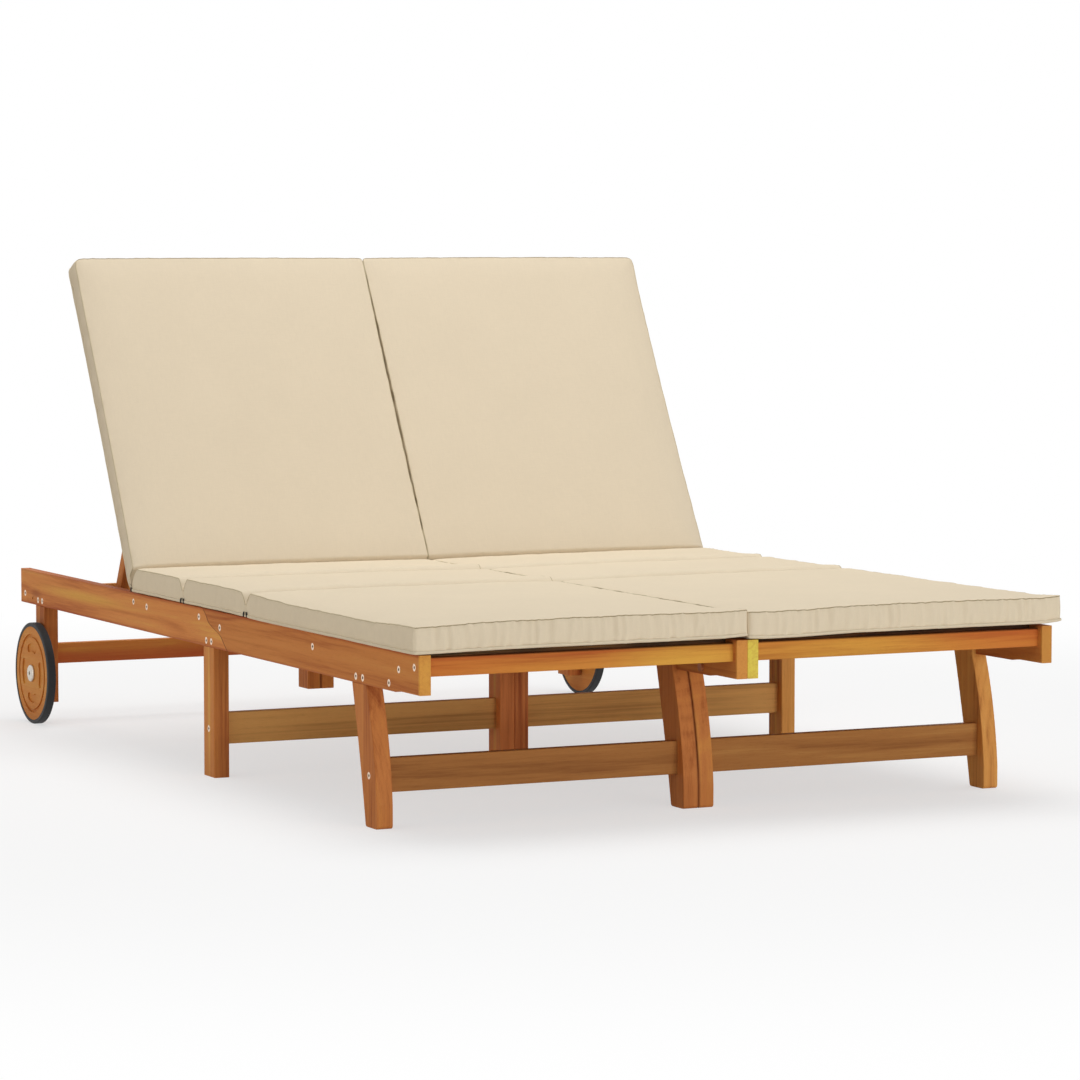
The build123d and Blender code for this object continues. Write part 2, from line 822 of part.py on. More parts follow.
def middle_station(start, end):
    """Station in the middle of a segment, where the sides are drawn in."""
    return [((start + end) / 2, 1.0, cushion_draw_in)]


def seat_cushion():
    """Seat cushion in three segments, boxed at the foot end and folded at the hinge."""
    start, end = foot_end, foot_end + seat_cushion_length
    notches = [foot_end + seat_cushion_length * share for share in notch_place_shares]
    level = [0] * len(seat_end_shares)
    stations = edge_stations(start, 1, end_reach, boxed_end_shares, boxed_inset_shares)
    stations += middle_station(start, notches[0]) + notch_stations(notches[0])
    stations += middle_station(notches[0], notches[1]) + notch_stations(notches[1])
    stations += middle_station(notches[1], end)
    stations += edge_stations(end, -1, hinge_end_reach, seat_end_shares, level)
    return cushion_solid(seat_cushion_thick, stations)


def back_cushion():
    """Back cushion, slanted at the fold and boxed at the head end."""
    start = hinge_y + back_cushion_gap
    end = hinge_y + stile_reach + back_cushion_overhang
    level = [0] * len(fold_shares)
    stations = edge_stations(start, 1, fold_reach, fold_shares, level)
    stations += middle_station(start, end)
    stations += edge_stations(end, -1, end_reach, boxed_end_shares, boxed_inset_shares)
    return on_backrest(cushion_solid(back_cushion_thick, stations))


def left_pieces():
    """Every node of the left lounger, as a name and its list of solids."""
    pieces = {}
    for side in SIDES:
        pieces[f"{side}_rail_front"] = [rail(side, front_rail_outline())]
        pieces[f"{side}_rail_rear"] = [rail(side, rear_rail_outline())]
        for name in leg_places():
            pieces[f"{side}_{name}_leg"] = [leg(side, name)]
        pieces[f"{side}_backrest_stile"] = [stile(side)]
    for name in stretcher_places():
        pieces[f"{name}_stretcher"] = [stretcher(name)]
    pieces["foot_crossbar"] = [crossbar("foot")]
    pieces["seat_slats"] = seat_slats()
    pieces["backrest_slats"] = back_slats()
    pieces["prop_struts"] = [strut(side) for side in SIDES]
    pieces["prop_foot_bar"] = [foot_bar()]
    pieces["prop_pivot_bolts"] = [solid for side in SIDES for solid in pivot_bolts(side)]
    pieces["wheel_disc"] = [wheel_disc()]
    pieces["wheel_tyre"] = [tyre()]
    pieces["seat_cushion"] = [seat_cushion()]
    pieces["back_cushion"] = [back_cushion()]
    return pieces


def shared_pieces():
    """Nodes that hold like pieces of both loungers, given for the left lounger."""
    return {
        "seat_end_crossbars": [crossbar("seat_end")],
        "head_crossbars": [crossbar("head")],
        "slat_cleats": [cleat(side) for side in SIDES],
        "ratchet_boards": [ratchet_board(side) for side in SIDES],
        "hinge_bolts": [solid for side in SIDES for solid in hinge_bolts(side)],
        "axle_bolts": axle_bolt(),
        "wheel_washers": [wheel_washer()],
        "frame_screws": [solid for side in SIDES for solid in all_screws(side)],
    }


def mirrored(solids):
    """The same solids on the right lounger."""
    return [mirror(solid, about=Plane.YZ) for solid in solids]


def write(name, solids):
    """Write one node's solids to its own file."""
    loose = [single for solid in solids for single in solid.solids()]
    shape = loose[0] if len(loose) == 1 else Compound(children=loose)
    export_step(shape, os.path.join("parts", name + ".step"))


os.makedirs("parts", exist_ok=True)
for node, solids in left_pieces().items():
    write("left_" + node, solids)
    write("right_" + node, mirrored(solids))
for node, solids in shared_pieces().items():
    write(node, solids + mirrored(solids))
write("joining_bolts", joining_bolts())
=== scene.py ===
from math import cos, exp, pi, radians, sin

import bpy
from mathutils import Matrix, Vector, noise


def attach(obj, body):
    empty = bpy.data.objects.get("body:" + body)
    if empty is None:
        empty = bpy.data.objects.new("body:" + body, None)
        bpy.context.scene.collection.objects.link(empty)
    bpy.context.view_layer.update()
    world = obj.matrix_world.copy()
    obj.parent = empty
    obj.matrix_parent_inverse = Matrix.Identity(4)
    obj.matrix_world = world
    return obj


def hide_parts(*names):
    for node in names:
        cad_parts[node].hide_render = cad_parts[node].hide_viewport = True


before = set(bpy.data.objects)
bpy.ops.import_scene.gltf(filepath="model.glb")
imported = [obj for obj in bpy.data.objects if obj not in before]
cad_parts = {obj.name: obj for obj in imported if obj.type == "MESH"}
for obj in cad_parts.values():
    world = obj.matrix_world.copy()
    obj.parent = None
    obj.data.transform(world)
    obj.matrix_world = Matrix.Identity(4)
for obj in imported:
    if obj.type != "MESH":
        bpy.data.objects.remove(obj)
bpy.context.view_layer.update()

# Looks of a double chaise lounger. X runs across, Y along towards the head end, Z up.
# Lengths are in metres, and the wood, metal and rubber take their shapes from the frame.

# Places in the frame
foot_end = -1.0
seat_cushion_end = 0.325
notch_places = (-0.264, 0.049)
hinge_y = 0.336
hinge_z = 0.291
recline = radians(61.0)
prop_slope = radians(-62.5)
rail_top = 0.308
rail_depth = 0.069
rail_outside = 0.608
screw_sink = 0.0003
socket_start = 0.0002
socket_deep = 0.0012
scarf_top_y = -0.031
scarf_run = 0.121
scarf_shares = ((0, 0), (0.14, 0.19), (0.23, 0.34), (0.48, 0.5), (0.72, 0.64), (0.86, 0.82), (1, 1))
scarf_half_width = 0.0014

# Slats: where the first board starts and how far apart they are
seat_slat_start = -0.960
seat_slat_pitch = 0.081
back_slat_start = hinge_y * cos(recline) + hinge_z * sin(recline) + 0.020
back_slat_pitch = 0.0813

# Grain of the wood: sway and spread of the growth rings, and how far the heart lies off
ring_sway = 0.05
rings_per_metre = 190.0
heart_drop = 0.045
grain_depth = 0.0006
mottle_depth = 0.0002

# Cushions
cushion_width = 0.613
cushion_inset = 0.003
cushion_rest = 0.3083
seat_thick = 0.0472
back_thick = 0.0432
cushion_crown = 0.0022
seat_bulge = 0.002
back_bulge = 0.0045
draw_in = 0.0025
inner_closing = 0.0026
middle_clear = 0.0004
pillow_drop = 0.0022
pillow_reach = 0.008
outer_drop = 0.007
outer_drop_reach = 0.016
corner_fill_reach = 0.05
outer_corner = 0.007
left_inner_corner = 0.003
right_inner_corner = 0.010
back_corner = 0.013
back_cushion_start = 0.016
back_cushion_end = 0.715
back_cushion_rest = 0.0173
cushion_middle = cushion_inset + cushion_width / 2
front_flare = 0.010
crease_gap = 0.0004
crease_round = 0.003
crease_reach = 0.012

# Uneven lie of the seat cushions: how far the foot end curls up from the inner to the outer
# corner, and how far the outer side rises or sinks along the lounger
curl_reach = 0.11
left_curl = ((0.0, 0.0060), (0.08, 0.0036), (0.7, 0.0034), (0.85, 0.0022), (1.0, 0.0006))
right_curl = ((0.0, 0.0014), (0.05, 0.0), (0.16, 0.0004), (0.33, 0.0032), (0.95, 0.0034), (1.0, 0.0060))
left_rise = ((-1.0, 0.0), (-0.35, 0.0), (-0.2, 0.0026), (0.4, 0.0028))
right_rise = ((-1.0, 0.0024), (0.4, 0.0034))
left_sag = ((-1.0, 0.0), (-0.93, 0.0), (-0.83, 0.0046), (-0.45, 0.0042), (-0.25, 0.0), (0.4, 0.0))
right_sag = ((-1.0, 0.0), (0.4, 0.0))

# Grid of each cushion
column_step = 0.0064
row_step = 0.012
edge_steps = (0.0, 0.0022, 0.006)
box_levels = (0.0, 0.07, 0.2, 0.36, 0.5, 0.64, 0.8, 0.93, 1.0)

# Shape of each kind of end: how far it stands back at a share of the height
notch_profile = ((0.0, 0.0), (0.42, 0.0), (0.66, 0.0060), (0.89, 0.0140), (1.0, 0.0230))
hinge_profile = ((0.0, 0.0026), (0.26, 0.0030), (0.54, 0.0110), (0.84, 0.0225), (1.0, 0.0345))
fold_profile = (
    (0.0, 0.0022),
    (0.12, 0.0094),
    (0.32, 0.0160),
    (0.58, 0.0232),
    (0.9, 0.0282),
    (1.0, 0.0328),
)
boxed_profile = ((0.0, 0.0), (1.0, 0.0))

# Padding worked out by cloth simulation
sim_frames = 20
top_cap = 0.0035
box_cap = 0.0016
cloth_settings = {
    "quality": 5,
    "mass": 0.2,
    "tension_stiffness": 12,
    "compression_stiffness": 12,
    "shear_stiffness": 4,
    "bending_stiffness": 0.8,
    "use_pressure": True,
    "uniform_pressure_force": 4.0,
}

# Puckers that the seams draw into the fabric, and slow waves along the back cushion's sides
pucker_size = 0.0090
pucker_depth = 0.0052
side_pucker_share = 0.3
back_pucker_share = 0.4
top_pucker_share = 0.22
top_pucker_reach = 0.013
pucker_height_share = 0.12
calm_corner = 0.03
side_wave_size = 0.026
side_wave_depth = 0.0036
seam_wobble = 0.0014
seam_wobble_size = 0.045
fine_wobble = 0.0008
fine_wobble_size = 0.011

# Seams and welts
seam_radius = 0.0009
welt_radius = 0.0028

# Webbing loops: their size, and each one's place beside a crease and its lean
strap_width = 0.0036
strap_thick = 0.0010
strap_length = 0.0092
crease_straps = (("near", -0.009, 0.35), ("far", 0.0075, -0.2))
fold_strap_place = seat_cushion_end - 0.004
fold_strap_lean = -0.1

# Canvas
thread_width = 0.0009
canvas_depth = 0.0004

# Stage
floor_size = 60.0
floor_clear = 3.2
floor_fade = 2.2
shadow_softening = 0.6
ambient = 0.36
white = (1.0, 1.0, 1.0)
floor_seen = (0.97, 0.97, 0.97)
floor_bounce = (0.80, 0.77, 0.71)

# Lamps: place, target, width and height, power and colour
lamps = {
    "overhead": ((0.3, 0.2, 3.8), (0, 0, 0.2), (3.2, 3.2), 90.0, white),
    "front": ((1.5, -7.0, 0.75), (0, -0.2, 0.3), (4.4, 1.4), 146.0, white),
    "left": ((-6.5, -0.6, 1.3), (0, 0, 0.3), (3.0, 3.0), 57.0, (1.0, 0.955, 0.88)),
}

# Camera
camera_place = (-3.35178, -7.10458, 0.98328)
camera_dip = 0.0726
camera_turn = 0.4517
camera_lens = 137.85
sensor_width = 36.0
view_reach = 100.0


def paint(code, share=1.0):
    """Colour for a shader from a hexadecimal screen colour, dimmed or raised by a share."""
    parts = [int(code[place:place + 2], 16) / 255 for place in (0, 2, 4)]
    parts = [part / 12.92 if part < 0.04045 else ((part + 0.055) / 1.055) ** 2.4 for part in parts]
    return (*(min(1.0, part * share) for part in parts), 1.0)


def add_object(name, data):
    """New object of the scene."""
    made = bpy.data.objects.new(name, data)
    bpy.context.scene.collection.objects.link(made)
    return made


def put(tree, kind, inputs=(), **settings):
    """Adds a node with its settings, and sets or links its inputs by name or number."""
    made = tree.nodes.new(kind)
    for key, value in settings.items():
        setattr(made, key, value)
    for key, value in dict(inputs).items():
        if isinstance(value, bpy.types.NodeSocket):
            tree.links.new(value, made.inputs[key])
        else:
            made.inputs[key].default_value = value
    return made


def calc(tree, operation, *values, clamp=False):
    """Output of a math node."""
    inputs = dict(enumerate(values))
    return put(tree, "ShaderNodeMath", inputs, operation=operation, use_clamp=clamp).outputs[0]


def blend_colours(tree, factor, first, second):
    """Output of a colour mix."""
    inputs = {0: factor, 6: first, 7: second}
    return put(tree, "ShaderNodeMix", inputs, data_type="RGBA", blend_type="MIX").outputs[2]


def between(tree, value, low, high, first=0.0, second=1.0):
    """A value taken smoothly from one range to another and kept inside it."""
    inputs = {0: value, 1: low, 2: high, 3: first, 4: second}
    made = put(tree, "ShaderNodeMapRange", inputs, interpolation_type="SMOOTHSTEP")
    return made.outputs[0]


def along_axis(tree, vector, axis):
    """How far a vector reaches along an axis."""
    made = put(tree, "ShaderNodeVectorMath", {0: vector, 1: axis}, operation="DOT_PRODUCT")
    return made.outputs["Value"]


def stretched_noise(tree, vector, scales, seed, detail=3.0, distortion=0.0):
    """Noise drawn out along the grain."""
    sized = put(tree, "ShaderNodeVectorMath", {0: vector, 1: scales}, operation="MULTIPLY")
    inputs = {
        "Vector": sized.outputs[0],
        "W": seed,
        "Scale": 1.0,
        "Detail": detail,
        "Roughness": 0.55,
        "Distortion": distortion,
    }
    return put(tree, "ShaderNodeTexNoise", inputs, noise_dimensions="4D").outputs[0]


def new_material(name):
    """Empty material with its node tree."""
    made = bpy.data.materials.new(name)
    made.use_nodes = True
    made.node_tree.nodes.clear()
    return made, made.node_tree


def cover(tree, shader):
    """Gives a material its surface."""
    output = put(tree, "ShaderNodeOutputMaterial")
    tree.links.new(shader.outputs[0], output.inputs[0])


def grain_frame(along):
    """Three axes of a board, the grain first."""
    first = Vector(along).normalized()
    second = first.orthogonal().normalized()
    if abs(first.x) < 0.5:
        second = Vector((1, 0, 0))
    return first, second, first.cross(second)


def patch(tree, place, centre, size):
    """Soft spot: one at its centre, none outside its size."""
    moved = put(tree, "ShaderNodeVectorMath", {0: place, 1: centre}, operation="SUBTRACT")
    shares = [1 / part for part in size]
    sized = put(tree, "ShaderNodeVectorMath", {0: moved.outputs[0], 1: shares}, operation="MULTIPLY")
    length = put(tree, "ShaderNodeVectorMath", {0: sized.outputs[0]}, operation="LENGTH")
    return between(tree, length.outputs["Value"], 1.0, 0.15)


def scarf_line(tree, place):
    """Thin line where the two halves of a rail meet."""
    parts = put(tree, "ShaderNodeSeparateXYZ", {0: place})
    drop = calc(tree, "DIVIDE", calc(tree, "SUBTRACT", rail_top, parts.outputs[2]), rail_depth)
    course = put(tree, "ShaderNodeFloatCurve", {"Factor": 1.0, "Value": drop})
    line = course.mapping.curves[0]
    for number, (along, down) in enumerate(scarf_shares):
        if 0 < number < len(scarf_shares) - 1:
            line.points.new(down, along)
    course.mapping.update()
    middle = calc(tree, "MULTIPLY_ADD", course.outputs[0], -scarf_run, scarf_top_y)
    off = calc(tree, "ABSOLUTE", calc(tree, "SUBTRACT", parts.outputs[1], middle))
    return between(tree, off, 2.4 * scarf_half_width, 0.8 * scarf_half_width)


# Noises of the grain: stretch along and across it, detail and distortion
GRAIN_NOISES = {
    "hue": (0.9, 13.0, 2.0, 0.4),
    "streak": (1.6, 42.0, 4.0, 0.5),
    "fibre": (7.0, 210.0, 3.0, 0.2),
    "fine": (30.0, 1100.0, 2.0, 0.0),
    "pore": (70.0, 1900.0, 1.0, 0.0),
    "sway": (1.7, 9.0, 2.0, 0.0),
}

# How much each of them, and the rings, count in the tone
TONE_SHARES = {"hue": 0.85, "streak": 0.75, "rings": 0.36, "fibre": 0.34, "fine": 0.18}


def grain_noises(tree, grain, seed):
    """Broad hue, streaks, rings, fibres and pores of a board, each from nought to one."""
    made = {}
    for name, (along, across, detail, distortion) in GRAIN_NOISES.items():
        made[name] = stretched_noise(tree, grain, (along, across, across), seed, detail, distortion)
    parts = put(tree, "ShaderNodeSeparateXYZ", {0: grain})
    wide = calc(tree, "ADD", parts.outputs[1], calc(tree, "MULTIPLY", made["sway"], ring_sway))
    high = calc(tree, "ADD", parts.outputs[2], heart_drop)
    squares = [calc(tree, "POWER", part, 2.0) for part in (wide, high)]
    radius = calc(tree, "SQRT", calc(tree, "ADD", *squares))
    place = calc(tree, "MULTIPLY_ADD", radius, rings_per_metre, seed)
    inputs = {"W": place, "Scale": 1.0, "Detail": 2.0}
    made["rings"] = put(tree, "ShaderNodeTexNoise", inputs, noise_dimensions="1D").outputs[0]
    return made


def wood(name, along, colours, seed, patches=(), boards=None, scarf=False, contrast=1.0):
    """Oiled hardwood. The colours are its pale, main and deep tones, and the patches lie on it."""
    made, tree = new_material(name)
    coordinates = put(tree, "ShaderNodeTexCoord")
    place = coordinates.outputs["Object"]
    axes = grain_frame(along)
    parts = [along_axis(tree, place, axis) for axis in axes]
    number = float(seed)
    if boards:
        axis, first, pitch = boards
        off = calc(tree, "SUBTRACT", along_axis(tree, place, axis), first)
        step = calc(tree, "FLOOR", calc(tree, "DIVIDE", off, pitch))
        number = calc(tree, "ADD", calc(tree, "MULTIPLY", step, 3.7), float(seed))
        tint = put(tree, "ShaderNodeTexWhiteNoise", {"W": number}, noise_dimensions="1D").outputs[0]
    grain = put(tree, "ShaderNodeCombineXYZ", dict(enumerate(parts))).outputs[0]
    noises = grain_noises(tree, grain, number)
    tone = 0.5
    for key, share in TONE_SHARES.items():
        off = calc(tree, "SUBTRACT", noises[key], 0.5)
        tone = calc(tree, "MULTIPLY_ADD", off, share * contrast, tone)
    if boards:
        tone = calc(tree, "MULTIPLY_ADD", calc(tree, "SUBTRACT", tint, 0.5), 0.28, tone)
    pale, main, deep = [paint(code) for code in colours]
    colour = blend_colours(tree, between(tree, tone, 0.18, 0.55), deep, main)
    colour = blend_colours(tree, between(tree, tone, 0.52, 0.86), colour, pale)
    facing = calc(tree, "ABSOLUTE", along_axis(tree, coordinates.outputs["Normal"], axes[0]))
    end_grain = calc(tree, "MULTIPLY", between(tree, facing, 0.6, 0.95), 0.2)
    colour = blend_colours(tree, end_grain, colour, deep)
    for centre, size, code, strength in patches:
        factor = calc(tree, "MULTIPLY", patch(tree, place, centre, size), strength)
        factor = calc(tree, "MULTIPLY", factor, between(tree, noises["fibre"], 0.25, 0.6, 0.65, 1.0))
        colour = blend_colours(tree, factor, colour, paint(code))
    if scarf:
        factor = calc(tree, "MULTIPLY", scarf_line(tree, place), 0.75)
        colour = blend_colours(tree, factor, colour, paint(SCARF_TONE))
    pores = between(tree, noises["pore"], 0.60, 0.72)
    colour = blend_colours(tree, calc(tree, "MULTIPLY", pores, 0.35), colour, deep)
    height = calc(tree, "MULTIPLY", noises["fibre"], 0.5)
    height = calc(tree, "MULTIPLY_ADD", noises["fine"], 0.6, height)
    height = calc(tree, "MULTIPLY_ADD", pores, -0.5, height)
    bump = put(tree, "ShaderNodeBump", {"Height": height, "Strength": 0.25, "Distance": grain_depth})
    inputs = {
        "Base Color": colour,
        "Roughness": between(tree, tone, 0.2, 0.9, 0.62, 0.50),
        "Specular IOR Level": 0.10,
        "Normal": bump.outputs[0],
    }
    cover(tree, put(tree, "ShaderNodeBsdfPrincipled", inputs))
    return made


def weave_height(tree, place):
    """Plain weave: crossing threads that rise and dip by turns, on each flat side of a piece."""
    turns = (pi / thread_width,) * 3
    turned = put(tree, "ShaderNodeVectorMath", {0: place, 1: turns}, operation="MULTIPLY")
    waves = put(tree, "ShaderNodeVectorMath", {0: turned.outputs[0]}, operation="SINE")
    parts = put(tree, "ShaderNodeSeparateXYZ", {0: waves.outputs[0]}).outputs
    across = calc(tree, "MULTIPLY", parts[0], parts[1])
    front = calc(tree, "MULTIPLY", parts[0], parts[2])
    side = calc(tree, "MULTIPLY", parts[1], parts[2])
    return calc(tree, "ADD", calc(tree, "ADD", across, front), side)


def fabric(name, code, slope=0.0):
    """Tight canvas with slubs in both directions, in the cushion's own directions."""
    made, tree = new_material(name)
    place = put(tree, "ShaderNodeTexCoord").outputs["Object"]
    turned = put(tree, "ShaderNodeMapping", {"Vector": place, "Rotation": (-slope, 0.0, 0.0)})
    flat = turned.outputs[0]
    slub_x = stretched_noise(tree, flat, (60.0, 900.0, 900.0), 1.0, 2.0)
    slub_y = stretched_noise(tree, flat, (900.0, 60.0, 60.0), 2.0, 2.0)
    cloud = stretched_noise(tree, flat, (7.0, 7.0, 7.0), 3.0, 3.0)
    slub = calc(tree, "MULTIPLY", calc(tree, "ADD", slub_x, slub_y), 0.5)
    tone = calc(tree, "MULTIPLY_ADD", calc(tree, "SUBTRACT", slub, 0.5), 0.9, 0.5)
    tone = calc(tree, "MULTIPLY_ADD", calc(tree, "SUBTRACT", cloud, 0.5), 0.35, tone)
    dark, light = paint(code, 0.95), paint(code, 1.02)
    height = calc(tree, "MULTIPLY_ADD", slub, 1.2, weave_height(tree, flat))
    bump = put(tree, "ShaderNodeBump", {"Height": height, "Strength": 0.18, "Distance": canvas_depth})
    inputs = {
        "Base Color": blend_colours(tree, between(tree, tone, 0.2, 0.8), dark, light),
        "Roughness": 0.92,
        "Specular IOR Level": 0.04,
        "Normal": bump.outputs[0],
    }
    cover(tree, put(tree, "ShaderNodeBsdfPrincipled", inputs))
    return made


def plain(name, first, second, scale, roughness, metallic=0.0):
    """Material of one substance whose colour and surface vary a little."""
    made, tree = new_material(name)
    place = put(tree, "ShaderNodeTexCoord").outputs["Object"]
    mottle = stretched_noise(tree, place, (scale, scale, scale), 5.0, 4.0)
    bump = put(tree, "ShaderNodeBump", {"Height": mottle, "Strength": 0.3, "Distance": mottle_depth})
    inputs = {
        "Base Color": blend_colours(tree, between(tree, mottle, 0.3, 0.7), paint(first), paint(second)),
        "Roughness": between(tree, mottle, 0.3, 0.7, roughness - 0.06, roughness + 0.06),
        "Metallic": metallic,
        "Normal": bump.outputs[0],
    }
    cover(tree, put(tree, "ShaderNodeBsdfPrincipled", inputs))
    return made


def wear(names, material):
    """Gives nodes of the frame a material."""
    for name in names:
        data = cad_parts[name].data
        data.materials.clear()
        data.materials.append(material)


# Tones of the wood: pale, main and deep
RAIL_TONES = ("D99B47", "CF8441", "A35227")
REAR_RAIL_TONES = ("E8B350", "DA8C48", "AA552C")
LEG_TONES = ("DC9848", "CC8044", "984E28")
PALE_LEG_TONES = ("EDB866", "DE9C52", "A8602E")
# Brighter copy of the leg tones: painted light that lifts the shade on the inner middle legs
MID_LEG_PAINTED_LIGHT_TONES = ("F4A654", "E38C50", "A8582F")
BAR_TONES = ("DCA04A", "D48B3C", "B05C2A")
STRETCHER_TONES = ("C08A4A", "AC733D", "7A4622")
# Brighter copy of the wood's tones: painted light that lifts the shade under the seats
MID_STRETCHER_PAINTED_LIGHT_TONES = ("EAB571", "DEA660", "A6733F")
SLAT_TONES = ("DDA45A", "CC8A4A", "98582B")
WHEEL_TONES = ("E0A850", "D38A42", "AE5E2E")

# Single tones: the scarf joint, the painted shade under the cushion, and the reddish and golden spots
SCARF_TONE = "7A4018"
PAINTED_SHADE_TONE = "1E0F08"
RED_SPOT = "C8642E"
GOLD_SPOT = "EDBE50"

GRAIN_X = (1, 0, 0)
GRAIN_Y = (0, 1, 0)
GRAIN_Z = (0, 0, 1)
GRAIN_SLOPE = (0, cos(recline), sin(recline))
GRAIN_PROP = (0, cos(prop_slope), sin(prop_slope))

SEAT_BOARDS = (GRAIN_Y, seat_slat_start, seat_slat_pitch)
BACK_BOARDS = (GRAIN_SLOPE, back_slat_start, back_slat_pitch)

# A patch has a centre, half sizes, a tone and a strength. This half size covers a whole board.
whole = 4.0


def rail_patches(side):
    """Darker reddish edges along a rail, the yellow streak of its rear third and a knot."""
    outside = side * rail_outside
    middle = rail_top - rail_depth / 2
    return (
        ((0, 0, rail_top), (whole, whole, 0.007), "A8502C", 0.55),
        ((0, 0, rail_top - rail_depth), (whole, whole, 0.006), "A54E2B", 0.6),
        ((outside, 0.62, middle + 0.004), (0.1, 0.36, 0.017), "E6B653", 0.55),
        ((outside, 0.905, middle - 0.012), (0.05, 0.045, 0.014), "7A3A1E", 0.5),
    )


# Tone of each rail's foot end, where the end grain shows
END_TONES = {
    "left_outer": "DFA24A",
    "left_inner": "D9964A",
    "right_inner": "E8D45A",
    "right_outer": "CB8E44",
}

# Soft spots on the crossbars at the foot: place across, half length, tone and strength
BAR_SPOTS = (
    (-0.58, 0.22, RED_SPOT, 0.4),
    (-0.10, 0.20, GOLD_SPOT, 0.5),
    (0.20, 0.26, GOLD_SPOT, 0.4),
    (0.58, 0.24, RED_SPOT, 0.45),
)

# Painted shade on the front edge of the first slat, under the cushion
FIRST_SLAT_SHADE = ((0, foot_end + 0.032, rail_top), (whole, 0.05, 0.06), PAINTED_SHADE_TONE, 0.95)


def rail_looks(side, place, part):
    """Tones and patches of one half of a rail. The inner rails keep only the edges."""
    sign = -1 if side == "left" else 1
    patches = rail_patches(sign)
    if place == "inner":
        patches = patches[:2]
    if part == "rear":
        return REAR_RAIL_TONES, patches
    centre = (0, foot_end, rail_top - rail_depth / 2)
    end = (centre, (whole, 0.007, 0.09), END_TONES[f"{side}_{place}"], 0.95)
    return RAIL_TONES, (*patches, end)


def leg_patches(sign, place, part):
    """Streak of a middle leg, and the dark joint between the inner legs."""
    if part == "mid":
        x = sign * rail_outside if place == "outer" else 0
        return (((x, -0.06, 0.12), (0.2, 0.008, 0.2), "EBC060", 0.5),)
    if place == "inner":
        return (((0, 0, 0), (0.0045, whole, whole), "5E2814", 0.8),)
    return ()


def stretcher_patches(part):
    """Reddish lower half of the rear stretcher; spots, a reddish upper edge and painted shade along the
    top of the crossbars.
    """
    if part == "rear_stretcher":
        return (((0, 0, 0.128), (whole, whole, 0.030), "BC5834", 0.8),)
    if part == "foot_crossbar":
        spots = [
            ((x, foot_end, rail_top - 0.03), (long, 0.1, 0.06), tone, strength)
            for x, long, tone, strength in BAR_SPOTS
        ]
        edge = ((0, 0, rail_top - 0.0055), (whole, whole, 0.010), "C0602C", 0.55)
        # Near-black painted shade along the top of the crossbar, under the cushion's lip
        painted_shade = ((0, 0, rail_top - 0.0045), (whole, whole, 0.0045), PAINTED_SHADE_TONE, 0.95)
        return (edge, *spots, painted_shade)
    return ()


def leg_tones(side, place, part):
    """Tones of a leg: paler ones at the right outside, and brighter, redder ones as painted light for
    the inner middle legs under the seats.
    """
    if (side, place) == ("right", "outer") and part != "rear":
        return PALE_LEG_TONES
    if (place, part) == ("inner", "mid"):
        return MID_LEG_PAINTED_LIGHT_TONES
    return LEG_TONES


# How far the grain of one board lies from the next one's
board_step = 7.31

# Stretchers and bars of each lounger: tones and contrast
CROSS_PIECES = {
    "front_stretcher": (STRETCHER_TONES, 1.0),
    "mid_stretcher": (MID_STRETCHER_PAINTED_LIGHT_TONES, 0.65),
    "rear_stretcher": (REAR_RAIL_TONES, 1.0),
    "foot_crossbar": (BAR_TONES, 1.0),
    "prop_foot_bar": (LEG_TONES, 1.0),
}

# Slats, props and wheels of each lounger: grain, tones, step between boards, patches, where
# the boards lie, and contrast
BOARD_PIECES = {
    "seat_slats": (GRAIN_X, SLAT_TONES, board_step, (FIRST_SLAT_SHADE,), SEAT_BOARDS, 1.0),
    "backrest_slats": (GRAIN_X, SLAT_TONES, 5.17, (), BACK_BOARDS, 1.0),
    "prop_struts": (GRAIN_PROP, LEG_TONES, 3.9, (), None, 1.0),
    "wheel_disc": (GRAIN_Y, WHEEL_TONES, 2.7, (), None, 0.7),
}

# Pieces that both loungers share in one node: grain and tones
SHARED_PIECES = {
    "seat_end_crossbars": (GRAIN_X, SLAT_TONES),
    "head_crossbars": (GRAIN_X, SLAT_TONES),
    "slat_cleats": (GRAIN_Y, LEG_TONES),
    "ratchet_boards": (GRAIN_Y, LEG_TONES),
}


def dress_side(side, place, number):
    """Gives the rails, legs and stile at one side of a lounger their boards."""
    sign = -1 if side == "left" else 1
    for part in ("front", "rear"):
        name = f"{side}_{place}_rail_{part}"
        tones, patches = rail_looks(side, place, part)
        seed = number * board_step
        wear([name], wood(name, GRAIN_Y, tones, seed, patches, scarf=True, contrast=0.85))
        number += 1
    for part in ("front", "mid", "rear"):
        name = f"{side}_{place}_{part}_leg"
        tones, patches = leg_tones(side, place, part), leg_patches(sign, place, part)
        wear([name], wood(name, GRAIN_Z, tones, number * board_step, patches))
        number += 1
    name = f"{side}_{place}_backrest_stile"
    wear([name], wood(name, GRAIN_SLOPE, LEG_TONES, number * board_step))
    return number + 1


def dress_wood():
    """Gives each wooden node its own board."""
    number = 1
    for side in ("left", "right"):
        for place in ("outer", "inner"):
            number = dress_side(side, place, number)
        for part, (tones, contrast) in CROSS_PIECES.items():
            name = f"{side}_{part}"
            seed = number * board_step
            wear([name], wood(name, GRAIN_X, tones, seed, stretcher_patches(part), contrast=contrast))
            number += 1
        for part, (grain, tones, step, patches, boards, contrast) in BOARD_PIECES.items():
            name = f"{side}_{part}"
            wear([name], wood(name, grain, tones, number * step, patches, boards, contrast=contrast))
        number += 1
    for name, (grain, tones) in SHARED_PIECES.items():
        wear([name], wood(name, grain, tones, number * board_step))
        number += 1


